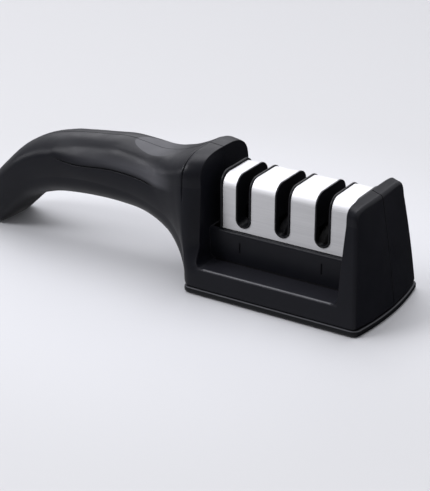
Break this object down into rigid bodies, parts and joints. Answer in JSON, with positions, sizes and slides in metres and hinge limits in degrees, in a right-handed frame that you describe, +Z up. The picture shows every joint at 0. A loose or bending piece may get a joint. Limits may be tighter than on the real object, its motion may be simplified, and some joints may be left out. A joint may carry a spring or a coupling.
{
  "type": "handheld knife sharpener",
  "caption": "Handheld pull-through knife sharpener: curved two-shell handle and base, lift-out sharpening cassette under a bent steel cover with U-shaped knife slots.",
  "frame": {"origin": "centre of the base, on the surface that the sharpener stands on", "axes": "+X from the handle towards the end block, -Y towards the front, +Z up; the two shells meet on y = 0"},
  "size_m": [0.2141, 0.0588, 0.0589],
  "materials": {
    "body_black": "fine satin charcoal moulding",
    "base_black": "matt charcoal moulding",
    "frame_black": "satin black moulding",
    "pad_rubber": "matt soft rubber",
    "brushed_steel": "long-grain brushed stainless sheet",
    "screw_steel": "zinc-plated steel",
    "tungsten_carbide": "ground dark carbide",
    "diamond_grit": "steel wheel coated with fine diamond grit",
    "grey_ceramic": "fine-grained grey ceramic",
    "sleeve_nylon": "moulded nylon"
  },
  "bodies": {
    "body": {"base_plate": "base_black", "non_slip_pad": "pad_rubber", "body_front_shell": "body_black", "body_rear_shell": "body_black", "shell_screw_1": "screw_steel", "shell_screw_2": "screw_steel", "shell_screw_3": "screw_steel", "shell_screw_4": "screw_steel", "base_screw_1": "screw_steel", "base_screw_2": "screw_steel", "base_screw_3": "screw_steel", "base_screw_4": "screw_steel"},
    "cassette": {"cassette_frame": "frame_black", "steel_cover": "brushed_steel", "cassette_bottom_cover": "frame_black", "cassette_screw_1": "screw_steel", "cassette_screw_2": "screw_steel", "carbide_blade_front": "tungsten_carbide", "carbide_blade_rear": "tungsten_carbide", "carbide_holder": "frame_black", "carbide_clamp": "screw_steel", "carbide_clamp_screw": "screw_steel", "diamond_axle": "screw_steel", "ceramic_axle": "screw_steel"},
    "diamond_wheels": {"diamond_wheel_sleeve": "sleeve_nylon", "diamond_wheel_left": "diamond_grit", "diamond_wheel_right": "diamond_grit"},
    "ceramic_wheels": {"ceramic_wheel_sleeve": "sleeve_nylon", "ceramic_wheel_left": "grey_ceramic", "ceramic_wheel_right": "grey_ceramic"}
  },
  "joints": [
    {"name": "cassette_lift", "type": "slide", "parent": "body", "child": "cassette", "axis": [0, 0, 1], "range_m": [0, 0.055]},
    {"name": "diamond_wheels_spin", "type": "hinge", "parent": "cassette", "child": "diamond_wheels", "pos_m": [-0.0026, 0, 0.024], "axis": [1, 0, 0], "continuous": true},
    {"name": "ceramic_wheels_spin", "type": "hinge", "parent": "cassette", "child": "ceramic_wheels", "pos_m": [0.0165, 0, 0.024], "axis": [1, 0, 0], "continuous": true}
  ]
}
